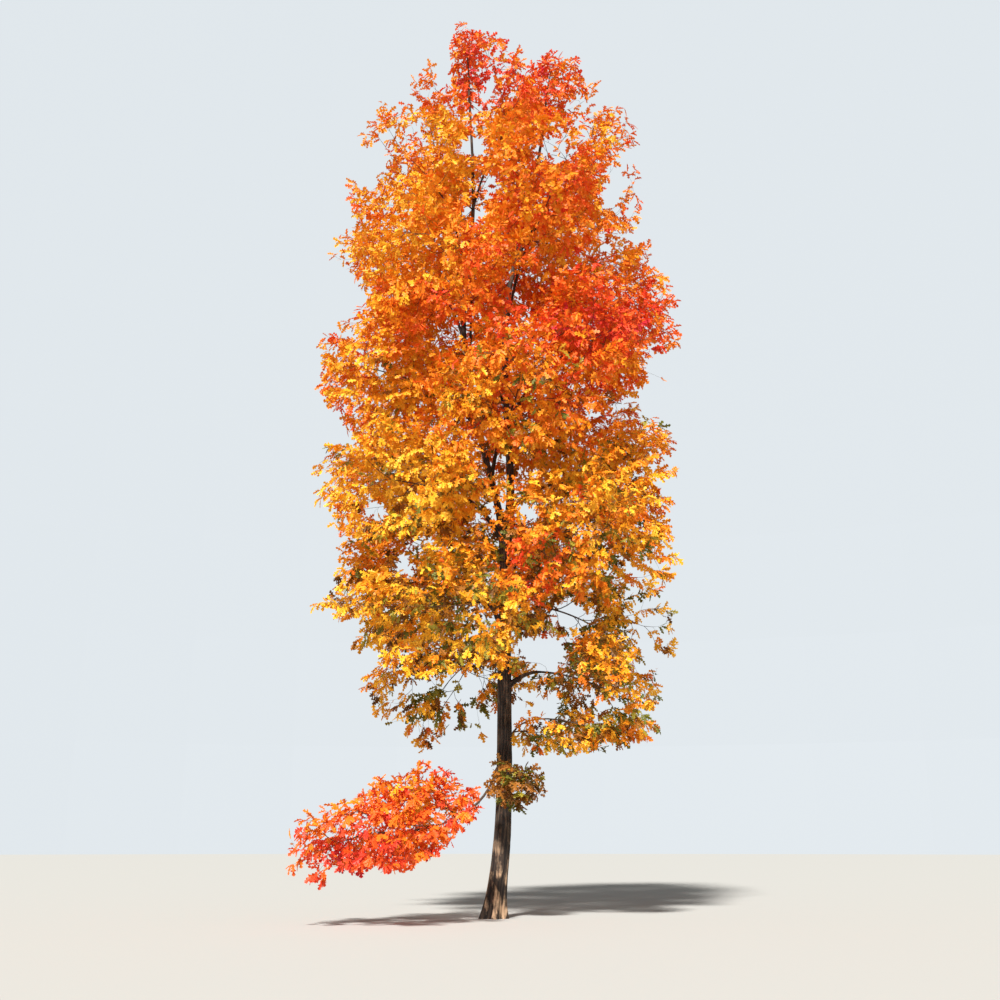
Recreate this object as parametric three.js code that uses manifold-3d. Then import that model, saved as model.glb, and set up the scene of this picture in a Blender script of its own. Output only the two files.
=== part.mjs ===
// A northern red oak in autumn leaf, about 24 m tall, in millimetres with +Z up.
// The origin is the centre of the flat cut under the trunk, at ground level. +X is to the right and
// +Y away from someone who looks at the tree's front.
// A whole trunk leans and sways up to the top of the crown, with a second stem beside it. Boughs
// leave both stems in a spiral, and each bough carries one mass of foliage in a space of its own.
import * as THREE from "three";
import { mergeVertices } from "three/addons/utils/BufferGeometryUtils.js";
import Module from "manifold-3d";

const wasm = await Module();
wasm.setup();
const { Manifold } = wasm;

// Trunk and second stem
const TRUNK_LINE = [
  [0, 0, 0],
  [235, 30, 2200],
  [262, 60, 6000],
  [250, 20, 8800],
  [-330, -120, 11500],
  [-780, -160, 14400],
  [-560, -60, 18000],
  [-700, 60, 21600],
];
const STEM_LINE = [
  [265, 40, 8000],
  [420, 220, 10200],
  [300, 480, 13200],
  [360, 560, 15600],
  [960, 520, 18400],
  [1420, 420, 21000],
];
const TRUNK_SHAPE = { sides: 16, rings: 26, footDetail: 1.4 };
const STEM_SHAPE = { sides: 9, rings: 13, footDetail: 1 };
const TRUNK_RADIUS = { foot: 206, top: 42, least: 34 };
const FORK = { height: 8600, below: 500, above: 1400, share: 0.36 }; // share of the radius that ends there
const FLARE = { rise: 0.5, height: 430, lobes: 5, depth: 0.26, turn: 0.9 };
const STEM_RADIUS = { foot: 112, tip: 32, collar: 0.1, collarFall: 9 };
const CLEARANCE = 0.3; // between two pieces that meet
const FACET_ALLOWANCE = 0.1; // added where a faceted piece cuts another

// Crown
const CROWN = { x: 150, y: 100, radius: 4950, widest: 12000, top: 22800, bottom: 2400 };
const CROWN_POWER = { above: 2.5, below: 3.2 }; // of the outline, over and under its widest height
const BOUGH_COUNT = 25;
const MASS_HEIGHT = { low: 4550, high: 21500 };
const FRONT_LIFT = { rise: 600, upTo: 8500, power: 0.5 }; // foliage starts higher in front of the trunk
const FIRST_TURN = -0.05; // of a full turn, the way the lowest bough points
const GOLDEN_TURN = 0.381966; // of a full turn, from one bough to the next
const MASS_TILT = { low: -0.34, high: 1.05, power: 1.3 }; // radians that a mass's long axis points up
const MASS_SIZE = { low: [1850, 2150, 1230], high: [1850, 1750, 1550] }; // half: along, across, through
const MASS_DROOP = { low: 1, high: 0.3 }; // of the blades
const NEAREST_CENTRE = 900; // of a mass, from the crown's axis
const ENTRY = 0.84; // of the half length along, from a mass's centre back to its bough's tip
const FILL = 1.36; // how far a mass's space reaches, as a share of its half lengths
const CELL_GAP = 24; // between the spaces of two masses
const LUMPS = { waves: 10, shortest: 1100, longest: 2400, depth: 0.27 }; // dips in the outlines
const LUMPS_SHIFT = { turn: 0.2, phase: 0.3125 }; // of a full turn, added to the waves' ways and phases

// Boughs
const BOUGH_SHAPE = { sides: 6, rings: 4 };
const BOUGH_SLOPE = { low: 0.36, high: 1.25 }; // from the host out to the mass
const BOUGH_LIFT = 0.12; // of its length, how far a bough's middle arches
const BOUGH_RADIUS = { perReach: 0.0168, tip: 27, collar: 0.4, collarFall: 8 };
const BOUGH_LIMITS = { ofHost: 0.62, tipOfBase: 0.85 }; // most that its foot and its tip may measure
const LOWEST_BOUGH = 3700;

// Boughs that the spiral doesn't give: the low sweeping one, the small low one and the low layer
const EXTRA_MASSES = [
  {
    name: "low_sweep", start: 3300, centre: [-1880, -2120, 2140], turn: -0.385, tilt: -0.34,
    size: [3160, 1900, 1200], lift: 0.16, twigs: 9, bladeScale: 0.9, droop: 1,
  },
  {
    name: "low_right", start: 2250, centre: [520, -1200, 2900], turn: -0.2, tilt: 0.2,
    size: [1100, 1000, 800], lift: -0.05, twigs: 5, bladeScale: 0.5, droop: 1,
  },
  {
    name: "low_layer", start: 3300, centre: [1850, -850, 4080], turn: -0.06, tilt: 0.06,
    size: [1850, 1300, 760], lift: 0.1, twigs: 5, bladeScale: 0.75, droop: 1,
  },
];
// Masses that go on from the tips of the trunk and of the second stem
const TOP_MASSES = [
  {
    name: "top_left", turn: 0.5, tilt: 1.5, size: [1700, 1100, 750], twigs: 8, bladeScale: 0.75, droop: 0,
  },
  {
    name: "top_right", turn: 0, tilt: 1.45, size: [1600, 1300, 1200], twigs: 7, bladeScale: 0.8, droop: 0,
  },
];
const TOP_ENTRY = 0.6; // of the half length along, from a top mass's centre back to its host's tip

// Foliage
const TWIGS_PER_MASS = 6;
const BLADE = { length: 1250, width: 0.7, thickness: 0.03, widest: 0.48, fold: 0.08 };
const BLADE_PLACES = [
  { at: 0.72, fan: -1.2 },
  { at: 0.87, fan: 1.2 },
  { at: 1, fan: 0 },
]; // share along the twig, and radians from the twig's own way
const BLADE_DROOP = { least: 0.1, most: 0.75 };
const BLADE_ROLL = 0.95;
const BLADE_OUTWARD = 1.6; // pull of a mass's outside on its blades, against their twig's own way
const BLADE_VARIES = 0.16;
const BLADE_TURN_VARIES = 0.15;
const BLADE_TRIES = [1.36, 1.18, 1, 0.84, 0.68, 0.54]; // shares of its length at which a blade is tried
const ROOT_SINK = 50; // how far the end blade's root lies back inside its twig
const TIP_SHELL = { inner: 0.2, outer: 0.56 }; // where twigs end, as shares of a mass's half lengths
const TIP_TRIES = 400;
const WAY_BACK = 0.35; // how much the way back to the stem counts when a twig picks where to branch
const STEM = { reach: 1.12, bend: 0.45, sides: 5, rings: 3 }; // reach as a share of the half length along
const STEM_JOINTS = { first: 0.3, step: 0.14 }; // shares of a mass's stem where twigs may start
const TWIG_SHAPE = { sides: 3, rings: 1 };
const TIP_SHELL_POWER = 0.5;
const TWIG_RADIUS = { stem: 25, stemTip: 18, base: 17, tip: 13 };
const FOLIAGE_CLEARANCE = 30; // kept between foliage and limbs
const SMALLEST_DETAIL = 1; // edges finer than this are merged where pieces of foliage join
const SEED = 7100;
const SPREAD = [0.8191725, 0.6710436, 0.5497005]; // steps of an even sequence of points in a box

const BARK = { color: 0x4a3a2c, roughness: 0.92 };
const LEAF_ROUGHNESS = 0.6;
const LEAF_COLOURS = { sweep: 0xd83a20, foot: 0xe9a21f, middle: 0xe8791a, head: 0xdc4a1e };
const COLOUR_HEIGHTS = { foot: 8200, head: 14800 };

const TURN = 2 * Math.PI;
const UP = new THREE.Vector3(0, 0, 1);
const vector = (point) => new THREE.Vector3(...point);
const mix = THREE.MathUtils.lerp;
const between = (range, share) => mix(range.low, range.high, share);
const GROWTH = CLEARANCE + FACET_ALLOWANCE;
const HALVINGS = 40; // to find a height on a line

// A stream of numbers from 0 to 1 that is the same on every run.
function stream(seed) {
  let state = seed >>> 0;
  return () => {
    state = (state + 0x6d2b79f5) >>> 0;
    let mixed = Math.imul(state ^ (state >>> 15), state | 1);
    mixed = (mixed + Math.imul(mixed ^ (mixed >>> 7), mixed | 61)) ^ mixed;
    return ((mixed ^ (mixed >>> 14)) >>> 0) / 4294967296;
  };
}

// A number from -1 to 1.
const either = (random) => 2 * random() - 1;

// Solids

function solidOf(geometry) {
  geometry.deleteAttribute("normal");
  geometry.deleteAttribute("uv");
  const merged = mergeVertices(geometry);
  const vertProperties = new Float32Array(merged.attributes.position.array);
  const triVerts = new Uint32Array(merged.index.array);
  return new Manifold(new wasm.Mesh({ numProp: 3, vertProperties, triVerts }));
}

// The largest body of a solid, without loose scraps and with sealed hollows filled.
function mainBody(solid) {
  const bodies = solid.decompose();
  return bodies.reduce((best, body) => (body.volume() > best.volume() ? body : best));
}

function meshOf(solid, name, look) {
  const { vertProperties, triVerts } = solid.getMesh();
  const geometry = new THREE.BufferGeometry();
  geometry.setAttribute("position", new THREE.BufferAttribute(vertProperties, 3));
  geometry.setIndex(new THREE.BufferAttribute(triVerts, 1));
  geometry.computeVertexNormals();
  const mesh = new THREE.Mesh(geometry, new THREE.MeshStandardMaterial({ metalness: 0, ...look }));
  mesh.name = name;
  return mesh;
}

// A closed cylinder of radius 1 whose every point is moved by a function of the ring that it is on,
// from 0 at the foot, and of its place in that ring.
function bentCylinder({ sides, rings }, placeOf) {
  const geometry = new THREE.CylinderGeometry(1, 1, 1, sides, rings);
  const places = geometry.attributes.position;
  for (let i = 0; i < places.count; i += 1) {
    const ring = Math.round((places.getY(i) + 0.5) * rings);
    const point = placeOf(ring, places.getX(i), -places.getZ(i));
    places.setXYZ(i, point.x, point.y, point.z);
  }
  return solidOf(geometry);
}

// A cylinder bent along a curve, its sections square to the curve.
function limb(curve, radiusAt, shape) {
  const { normals, binormals } = curve.computeFrenetFrames(shape.rings, false);
  return bentCylinder(shape, (ring, x, y) => {
    const share = ring / shape.rings;
    const radius = radiusAt(share);
    const point = curve.getPointAt(share).addScaledVector(normals[ring], x * radius);
    return point.addScaledVector(binormals[ring], y * radius);
  });
}

// Upright hosts: the trunk and the second stem

// The point of a smooth line through given points, at a share of its spans.
function lineAt(points, share) {
  const spans = points.length - 1;
  const k = THREE.MathUtils.clamp(Math.floor(share * spans), 0, spans - 1);
  const t = share * spans - k;
  const before = points[Math.max(0, k - 1)];
  const after = points[Math.min(spans, k + 2)];
  return vector(
    points[k].map((value, axis) => {
      const next = points[k + 1][axis];
      const slope = (next - before[axis]) / 2;
      const nextSlope = (after[axis] - value) / 2;
      const bend = 3 * (next - value) - 2 * slope - nextSlope;
      const twist = slope + nextSlope - 2 * (next - value);
      return value + slope * t + bend * t ** 2 + twist * t ** 3;
    }),
  );
}

// The point where a rising line reaches a height.
function lineAtHeight(points, height) {
  let low = 0;
  let high = 1;
  for (let i = 0; i < HALVINGS; i += 1) {
    const middle = (low + high) / 2;
    if (lineAt(points, middle).z < height) {
      low = middle;
    } else {
      high = middle;
    }
  }
  return lineAt(points, low);
}

function trunkRadius(height, angle = 0) {
  const taper = mix(TRUNK_RADIUS.foot, TRUNK_RADIUS.top, height / TRUNK_LINE.at(-1)[2]);
  const pastFork = THREE.MathUtils.smoothstep(height, FORK.height - FORK.below, FORK.height + FORK.above);
  const plain = Math.max(TRUNK_RADIUS.least, taper * (1 - FORK.share * pastFork));
  const flare = FLARE.rise * Math.exp(-height / FLARE.height);
  const lobes = FLARE.depth * Math.cos(FLARE.lobes * angle + FLARE.turn) * Math.exp(-height / FLARE.height);
  return plain * (1 + flare + lobes);
}

function stemRadius(height) {
  const foot = STEM_LINE[0][2];
  const share = (height - foot) / (STEM_LINE.at(-1)[2] - foot);
  const collar = 1 + STEM_RADIUS.collar * Math.exp(-STEM_RADIUS.collarFall * share);
  return mix(STEM_RADIUS.foot, STEM_RADIUS.tip, share) * collar;
}

// A host with level sections, so that its foot is flat, with its radius grown where it cuts others.
function uprightSolid(line, radiusAt, shape, growth = 0) {
  const foot = line[0][2];
  const top = line.at(-1)[2];
  const centres = Array.from({ length: shape.rings + 1 }, (_, ring) =>
    lineAtHeight(line, mix(foot, top, (ring / shape.rings) ** shape.footDetail)),
  );
  return bentCylinder(shape, (ring, x, y) => {
    const radius = radiusAt(centres[ring].z, Math.atan2(y, x)) + growth;
    return new THREE.Vector3(x * radius, y * radius, 0).add(centres[ring]);
  });
}

const trunkSolid = uprightSolid(TRUNK_LINE, trunkRadius, TRUNK_SHAPE);
const trunkCutter = uprightSolid(TRUNK_LINE, trunkRadius, TRUNK_SHAPE, GROWTH);
const stemWhole = uprightSolid(STEM_LINE, stemRadius, STEM_SHAPE);
const stemCutter = uprightSolid(STEM_LINE, stemRadius, STEM_SHAPE, GROWTH);
const stemSolid = mainBody(stemWhole.subtract(trunkCutter));

const HOSTS = [
  { line: TRUNK_LINE, radius: trunkRadius },
  { line: STEM_LINE, radius: stemRadius },
];

// Masses and their spaces

// The crown's radius at a height: a tall dome over a foot that draws in.
function crownRadius(height) {
  const above = height > CROWN.widest;
  const reach = above ? CROWN.top - CROWN.widest : CROWN.widest - CROWN.bottom;
  const power = above ? CROWN_POWER.above : CROWN_POWER.below;
  const share = Math.min(1, Math.abs(height - CROWN.widest) / reach);
  return CROWN.radius * (1 - share ** power) ** (1 / power);
}

const levelWay = (turn) => new THREE.Vector3(Math.cos(turn * TURN), Math.sin(turn * TURN), 0);

// A mass's three axes: along, which points outward and up by the tilt, across, and through.
function massAxes(turn, tilt) {
  const out = levelWay(turn);
  const across = new THREE.Vector3().crossVectors(UP, out);
  const along = out.multiplyScalar(Math.cos(tilt)).addScaledVector(UP, Math.sin(tilt));
  return [along, across, new THREE.Vector3().crossVectors(along, across)];
}

// The host and the height at which a bough starts, so that it climbs to its mass at a slope.
function boughFoot(entry, slope) {
  const run = Math.hypot(entry.x - CROWN.x, entry.y - CROWN.y);
  const foot = Math.max(LOWEST_BOUGH, entry.z - run * slope);
  const gapTo = (host) => lineAtHeight(host.line, foot).distanceTo(entry);
  const onStem = foot > STEM_LINE[1][2] && gapTo(HOSTS[1]) < gapTo(HOSTS[0]);
  return { foot, host: onStem ? HOSTS[1] : HOSTS[0] };
}

function spiralMass(index) {
  const share = (index + 0.5) / BOUGH_COUNT;
  const turn = FIRST_TURN + index * GOLDEN_TURN;
  const out = levelWay(turn);
  const level = between(MASS_HEIGHT, share);
  const lift = Math.max(0, -out.y) * Math.max(0, 1 - level / FRONT_LIFT.upTo) ** FRONT_LIFT.power;
  const height = level + FRONT_LIFT.rise * lift;
  const tilt = between(MASS_TILT, share ** MASS_TILT.power);
  const size = MASS_SIZE.low.map((half, axis) => mix(half, MASS_SIZE.high[axis], share));
  const inward = Math.hypot(size[0] * Math.cos(tilt), size[2] * Math.sin(tilt));
  const distance = Math.max(NEAREST_CENTRE, crownRadius(height) - inward);
  const centre = new THREE.Vector3(CROWN.x, CROWN.y, height).addScaledVector(out, distance);
  const axes = massAxes(turn, tilt);
  const entry = centre.clone().addScaledVector(axes[0], -ENTRY * size[0]);
  const name = String(index + 1).padStart(2, "0");
  const foliage = { twigs: TWIGS_PER_MASS, bladeScale: 1, droop: between(MASS_DROOP, share) };
  const bough = { lift: BOUGH_LIFT, ...boughFoot(entry, between(BOUGH_SLOPE, share)) };
  const space = size.map((half) => half * FILL);
  return { name, centre, size, axes, entry, space, inCrown: true, ...foliage, ...bough };
}

function extraMass(extra) {
  const centre = vector(extra.centre);
  const axes = massAxes(extra.turn, extra.tilt);
  const entry = centre.clone().addScaledVector(axes[0], -ENTRY * extra.size[0]);
  const own = { space: extra.size, inCrown: false, host: HOSTS[0], foot: extra.start };
  return { ...extra, centre, axes, entry, ...own };
}

function topMass(top, host) {
  const axes = massAxes(top.turn, top.tilt);
  const entry = vector(host.line.at(-1));
  const centre = entry.clone().addScaledVector(axes[0], TOP_ENTRY * top.size[0]);
  return { ...top, centre, axes, entry, space: top.size, inCrown: false };
}

const boughMasses = Array.from({ length: BOUGH_COUNT }, (_, index) => spiralMass(index));
boughMasses.push(...EXTRA_MASSES.map(extraMass));
const masses = [...boughMasses, ...TOP_MASSES.map((top, k) => topMass(top, HOSTS[k]))];

// How far out a point lies in the crown: 0 on its axis at its widest height, and 1 on its outline.
function crownReach(point) {
  const above = point.z > CROWN.widest;
  const power = above ? CROWN_POWER.above : CROWN_POWER.below;
  const reach = above ? CROWN.top - CROWN.widest : CROWN.widest - CROWN.bottom;
  const height = Math.abs(point.z - CROWN.widest) / reach;
  const out = Math.hypot(point.x - CROWN.x, point.y - CROWN.y) / CROWN.radius;
  return (height ** power + out ** power) ** (1 / power);
}

// Waves that run in all directions. Their sum makes lumps.
const lumpWaves = Array.from({ length: LUMPS.waves }, (_, k) => {
  const level = 1 - (2 * k + 1) / LUMPS.waves;
  const way = levelWay(k * GOLDEN_TURN + LUMPS_SHIFT.turn).multiplyScalar(Math.sqrt(1 - level ** 2));
  const length = mix(LUMPS.shortest, LUMPS.longest, (k * SPREAD[0]) % 1);
  way.addScaledVector(UP, level).multiplyScalar(TURN / length);
  return { way, phase: TURN * ((k * SPREAD[1] + LUMPS_SHIFT.phase) % 1) };
});

// How deep an outline dips at a point, from 0 to 1.
function dipAt(point) {
  const sum = lumpWaves.reduce((total, wave) => total + Math.cos(wave.way.dot(point) + wave.phase), 0);
  return (1 + Math.tanh(sum * Math.sqrt(2 / LUMPS.waves))) / 2;
}

// A point lies in a mass's space when it is inside its ellipsoid, inside the crown for a mass of the
// crown, and nearer its centre than any other. Lumps dip into both outlines.
function inSpace(mass, point) {
  const away = point.clone().sub(mass.centre);
  const own = Math.hypot(...mass.axes.map((axis, k) => away.dot(axis) / mass.space[k]));
  const reach = mass.inCrown ? Math.max(own, crownReach(point)) : own;
  return reach <= 1 - LUMPS.depth * dipAt(point) && masses.every((other) => {
    const apart = other.centre.clone().sub(mass.centre);
    const half = (apart.length() - CELL_GAP) / 2;
    return other === mass || away.dot(apart.normalize()) < half;
  });
}

// Boughs

function boughOf(mass) {
  const start = lineAtHeight(mass.host.line, mass.foot);
  const length = start.distanceTo(mass.entry);
  const control = start.clone().lerp(mass.entry, 0.5).addScaledVector(UP, 2 * mass.lift * length);
  const curve = new THREE.QuadraticBezierCurve3(start, control, mass.entry);
  const reach = length + 2 * mass.size[0];
  const most = BOUGH_LIMITS.ofHost * mass.host.radius(mass.foot);
  const base = Math.min(BOUGH_RADIUS.perReach * reach, most);
  const tip = Math.min(BOUGH_RADIUS.tip, base * BOUGH_LIMITS.tipOfBase);
  const radiusAt = (share) =>
    mix(base, tip, share) * (1 + BOUGH_RADIUS.collar * Math.exp(-BOUGH_RADIUS.collarFall * share));
  const whole = limb(curve, radiusAt, BOUGH_SHAPE);
  const solid = mainBody(whole.subtract(trunkCutter).subtract(stemCutter));
  return { solid, way: curve.getTangentAt(1), tip };
}

// Foliage

// The stem of a mass: it starts clear of its bough's tip, square to it, and turns towards the far end.
function massStem(mass, way, tipRadius) {
  const start = mass.entry.clone().addScaledVector(way, CLEARANCE);
  const length = STEM.reach * mass.size[0];
  const control = start.clone().addScaledVector(way, length * STEM.bend);
  const end = mass.entry.clone().addScaledVector(mass.axes[0], length);
  const curve = new THREE.QuadraticBezierCurve3(start, control, end);
  const first = Math.min(TWIG_RADIUS.stem, tipRadius);
  return { curve, length, solid: limb(curve, (share) => mix(first, TWIG_RADIUS.stemTip, share), STEM) };
}

// Where a mass's twigs end: an even sequence of points, pushed outward, of those inside its space.
function twigTips(mass, offset) {
  const tips = [];
  for (let i = 1; i < TIP_TRIES && tips.length < mass.twigs; i += 1) {
    const [a, b, c] = SPREAD.map((step) => (offset + i * step) % 1);
    const level = 2 * a - 1;
    const ring = Math.sqrt(1 - level ** 2);
    const shell = mix(TIP_SHELL.inner, TIP_SHELL.outer, c ** TIP_SHELL_POWER);
    const parts = [level, ring * Math.cos(b * TURN), ring * Math.sin(b * TURN)];
    const point = mass.centre.clone();
    mass.axes.forEach((axis, k) => point.addScaledVector(axis, parts[k] * shell * mass.space[k]));
    if (inSpace(mass, point)) {
      tips.push(point);
    }
  }
  return tips.sort((one, other) => one.distanceTo(mass.entry) - other.distanceTo(mass.entry));
}

// A blade of eight faces from its root along a way, folded a little along its middle.
function blade(root, way, across, length) {
  const geometry = new THREE.OctahedronGeometry(1);
  const over = new THREE.Vector3().crossVectors(way, across);
  const places = geometry.attributes.position;
  for (let i = 0; i < places.count; i += 1) {
    const [x, y, z] = [places.getX(i), places.getY(i), places.getZ(i)];
    const far = Math.abs(x) > 0.5 ? (x + 1) / 2 : BLADE.widest;
    const point = root.clone().addScaledVector(way, far * length);
    point.addScaledVector(across, (y * BLADE.width * length) / 2);
    point.addScaledVector(over, ((z * BLADE.thickness) / 2 - Math.abs(y) * BLADE.fold) * length);
    places.setXYZ(i, point.x, point.y, point.z);
  }
  return { solid: solidOf(geometry), corners: cornersOf(places) };
}

function cornersOf(places) {
  return Array.from({ length: places.count }, (_, i) => new THREE.Vector3().fromBufferAttribute(places, i));
}

const clearOf = (solid, limbs) =>
  limbs.every((other) => solid.minGap(other, FOLIAGE_CLEARANCE) >= FOLIAGE_CLEARANCE);

// The blades near the end of a twig. They fan out from its way, droop and keep to the mass's space,
// and a blade that would touch something is tried shorter, then left out.
function addBlades(mass, twig, solids, limbs, random) {
  const others = [...limbs, ...solids.filter((solid) => solid !== twig.solid)];
  const outward = twig.end.clone().sub(mass.centre).normalize();
  const ahead = twig.way.clone().addScaledVector(outward, BLADE_OUTWARD).normalize();
  const lean = new THREE.Vector3(either(random), either(random), either(random));
  const over = mass.axes[2].clone().addScaledVector(lean, BLADE_ROLL);
  const side = new THREE.Vector3().crossVectors(over, ahead).normalize();
  const span = twig.end.distanceTo(twig.start);
  for (const { at, fan } of BLADE_PLACES) {
    const root = twig.start.clone().addScaledVector(twig.way, Math.min(at * span, span - ROOT_SINK));
    const angle = fan + either(random) * BLADE_TURN_VARIES;
    const droop = mix(BLADE_DROOP.least, BLADE_DROOP.most, random());
    const way = ahead.clone().multiplyScalar(Math.cos(angle)).addScaledVector(side, Math.sin(angle));
    way.addScaledVector(UP, -droop * mass.droop).normalize();
    const across = new THREE.Vector3().crossVectors(over, way).normalize();
    const full = BLADE.length * mass.bladeScale * (1 + either(random) * BLADE_VARIES);
    for (const scale of BLADE_TRIES) {
      const one = blade(root, way, across, full * scale);
      if (one.corners.every((corner) => inSpace(mass, corner)) && clearOf(one.solid, others)) {
        solids.push(one.solid);
        others.push(one.solid);
        break;
      }
    }
  }
}

// One mass: twigs branch from the stem or from earlier twigs, each to the place nearest to its end.
function growMass(mass, stem, limbs, seed) {
  const random = stream(seed);
  const twigs = [];
  const joints = [];
  for (let share = STEM_JOINTS.first; share <= 1; share += STEM_JOINTS.step) {
    joints.push({ point: stem.curve.getPointAt(share), back: share * stem.length });
  }
  for (const end of twigTips(mass, random())) {
    const cost = (joint) => joint.point.distanceTo(end) + WAY_BACK * joint.back;
    const from = joints.reduce((best, joint) => (cost(joint) < cost(best) ? joint : best));
    const length = from.point.distanceTo(end);
    const way = end.clone().sub(from.point).normalize();
    const line = new THREE.LineCurve3(from.point, end);
    const solid = limb(line, (share) => mix(TWIG_RADIUS.base, TWIG_RADIUS.tip, share), TWIG_SHAPE);
    if (clearOf(solid, limbs)) {
      twigs.push({ start: from.point, end, way, solid });
      joints.push({ point: from.point.clone().lerp(end, 0.5), back: from.back + length / 2 });
      joints.push({ point: end.clone().addScaledVector(way, -ROOT_SINK), back: from.back + length });
    }
  }
  const solids = [stem.solid, ...twigs.map((twig) => twig.solid)];
  for (const twig of twigs) {
    addBlades(mass, twig, solids, limbs, random);
  }
  return mainBody(Manifold.union(solids).simplify(SMALLEST_DETAIL));
}

// The whole tree

const tree = new THREE.Group();
tree.add(meshOf(trunkSolid, "trunk", BARK));
tree.add(meshOf(stemSolid, "second_stem", BARK));

const boughs = boughMasses.map(boughOf);
boughs.forEach((bough, k) => tree.add(meshOf(bough.solid, `bough_${boughMasses[k].name}`, BARK)));

const stems = masses.map((mass, k) =>
  k < boughs.length ? massStem(mass, boughs[k].way, boughs[k].tip) : massStem(mass, UP, TWIG_RADIUS.stem),
);
const hostSolids = [trunkSolid, stemSolid, ...boughs.map((bough) => bough.solid)];

function leafColour(mass) {
  if (mass.name === "low_sweep") {
    return LEAF_COLOURS.sweep;
  }
  if (mass.centre.z < COLOUR_HEIGHTS.foot) {
    return LEAF_COLOURS.foot;
  }
  return mass.centre.z < COLOUR_HEIGHTS.head ? LEAF_COLOURS.middle : LEAF_COLOURS.head;
}

masses.forEach((mass, k) => {
  const others = stems.filter((_, other) => other !== k).map((stem) => stem.solid);
  const solid = growMass(mass, stems[k], [...hostSolids, ...others], SEED + k);
  tree.add(meshOf(solid, `foliage_${mass.name}`, { color: leafColour(mass), roughness: LEAF_ROUGHNESS }));
});

export default tree;
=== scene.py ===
# A northern red oak in autumn leaf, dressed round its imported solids, in metres with +Z up.
# The limbs' lines, radii and spaces follow the same rule as the solids. Each foliage mass is grown
# again from its bough's tip: a stem, its main twigs, and then finer twigs that end in sprays of leaves.
import math
from types import SimpleNamespace

import bmesh
import bpy
import numpy as np
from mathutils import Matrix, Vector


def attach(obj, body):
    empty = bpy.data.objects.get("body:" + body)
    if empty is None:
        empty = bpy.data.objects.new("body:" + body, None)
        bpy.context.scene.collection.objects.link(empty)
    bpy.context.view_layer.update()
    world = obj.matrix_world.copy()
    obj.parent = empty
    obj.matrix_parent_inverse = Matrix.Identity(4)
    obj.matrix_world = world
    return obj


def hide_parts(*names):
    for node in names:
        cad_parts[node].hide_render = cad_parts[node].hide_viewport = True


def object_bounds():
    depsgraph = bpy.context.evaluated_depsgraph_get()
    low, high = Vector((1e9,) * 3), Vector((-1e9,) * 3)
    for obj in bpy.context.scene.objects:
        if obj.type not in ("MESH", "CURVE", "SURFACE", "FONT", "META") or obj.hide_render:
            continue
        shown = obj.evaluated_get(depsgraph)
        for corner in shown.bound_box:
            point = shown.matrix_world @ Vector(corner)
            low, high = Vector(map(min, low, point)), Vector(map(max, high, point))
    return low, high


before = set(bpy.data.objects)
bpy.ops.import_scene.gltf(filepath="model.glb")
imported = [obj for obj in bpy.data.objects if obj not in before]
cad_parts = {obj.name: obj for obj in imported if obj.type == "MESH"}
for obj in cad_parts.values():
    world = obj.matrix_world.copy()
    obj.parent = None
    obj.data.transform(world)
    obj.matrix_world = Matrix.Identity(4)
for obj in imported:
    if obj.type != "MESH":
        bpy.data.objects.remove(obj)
CAD_BOX = [np.array(corner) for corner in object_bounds()]

TURN = 2 * math.pi
UP, SIDEWAYS, AWAY = np.array([0.0, 0, 1]), np.array([1.0, 0, 0]), np.array([0, 1.0, 0])
LEAST_LENGTH = 1e-12  # of a vector that is made a unit one
STEEP = 0.9  # how much a way has to rise in its length for the sideways axis to serve it better

# Trunk and second stem
TRUNK_LINE = np.array([
    (0, 0, 0), (0.235, 0.03, 2.2), (0.262, 0.06, 6), (0.25, 0.02, 8.8),
    (-0.33, -0.12, 11.5), (-0.78, -0.16, 14.4), (-0.56, -0.06, 18), (-0.7, 0.06, 21.6),
])
STEM_LINE = np.array([
    (0.265, 0.04, 8), (0.42, 0.22, 10.2), (0.3, 0.48, 13.2),
    (0.36, 0.56, 15.6), (0.96, 0.52, 18.4), (1.42, 0.42, 21),
])
LINE_STEPS = 60  # straight steps in each span of a line
DENSE_STEPS = 200  # points of a bent line from which evenly spaced ones are worked out
TRUNK_FOOT, TRUNK_TOP, TRUNK_LEAST = 0.206, 0.042, 0.034
FORK_HEIGHT, FORK_BELOW, FORK_ABOVE, FORK_SHARE = 8.6, 0.5, 1.4, 0.36
FLARE_RISE, FLARE_HEIGHT, FLARE_LOBES, FLARE_DEPTH, FLARE_TURN = 0.5, 0.43, 5, 0.26, 0.9
STEM_FOOT, STEM_TIP, STEM_COLLAR, STEM_COLLAR_FALL = 0.112, 0.032, 0.1, 9

# Crown
CROWN_X, CROWN_Y, CROWN_RADIUS = 0.15, 0.1, 4.95
CROWN_WIDEST, CROWN_TOP, CROWN_BOTTOM = 12, 22.8, 2.4
CROWN_POWER_ABOVE, CROWN_POWER_BELOW = 2.5, 3.2
BOUGH_COUNT = 25
MASS_LOW, MASS_HIGH = 4.55, 21.5
FRONT_RISE, FRONT_UP_TO, FRONT_POWER = 0.6, 8.5, 0.5
FIRST_TURN, GOLDEN_TURN = -0.05, 0.381966
TILT_LOW, TILT_HIGH, TILT_POWER = -0.34, 1.05, 1.3
SIZE_LOW, SIZE_HIGH = np.array([1.85, 2.15, 1.23]), np.array([1.85, 1.75, 1.55])
NEAREST_CENTRE = 0.9
ENTRY = 0.84
CELL_GAP = 0.024
FILL = 1.36  # how far a mass's space reaches, as a share of its half lengths
LUMP_WAVES, LUMP_SHORTEST, LUMP_LONGEST, LUMP_DEPTH = 10, 1.1, 2.4, 0.27  # dips in the outlines
WAVE_TURN, WAVE_PHASE = 0.2, 0.3125  # of a full turn, added to the waves' ways and phases

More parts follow.
